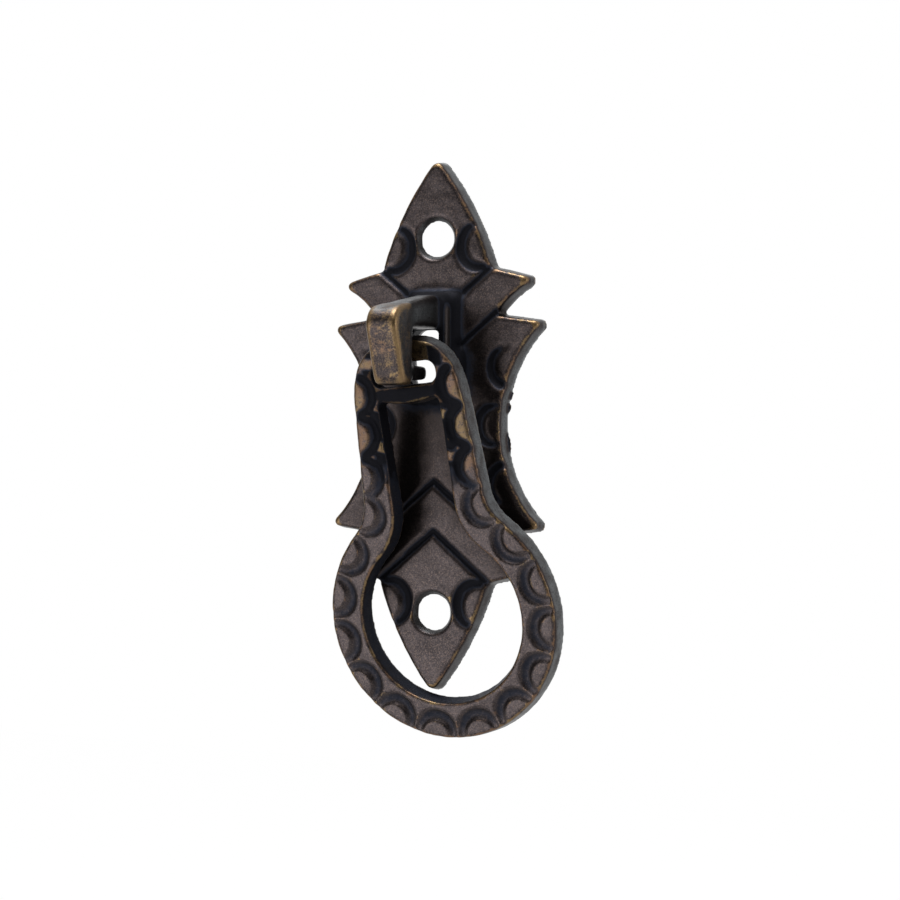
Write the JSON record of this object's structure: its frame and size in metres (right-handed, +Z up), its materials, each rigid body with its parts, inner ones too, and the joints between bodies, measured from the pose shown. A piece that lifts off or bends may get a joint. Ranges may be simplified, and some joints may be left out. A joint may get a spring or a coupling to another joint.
{
  "type": "drop handle",
  "caption": "Cast spearhead backplate with an integral hook, on which a drop pull with a finger ring hangs and swings; scooped edges, antique bronze finish.",
  "frame": {"origin": "middle of the backplate's back face, halfway between the screw holes", "axes": "+Y into the door, out of the back face; +Z up the backplate; +X to the right as seen from the room"},
  "size_m": [0.0291, 0.0156, 0.0648],
  "materials": {
    "plate_bronze": "antique bronze plating on a zinc casting, satin",
    "pull_bronze": "antique bronze plating on a zinc casting, satin"
  },
  "bodies": {
    "plate": {"backplate": "plate_bronze"},
    "pull": {"drop_pull": "pull_bronze"}
  },
  "joints": [
    {"name": "pull_swing", "type": "hinge", "parent": "plate", "child": "pull", "pos_m": [0, -0.00815, 0.00555], "axis": [-1, 0, 0], "range_deg": [0, 25]}
  ]
}
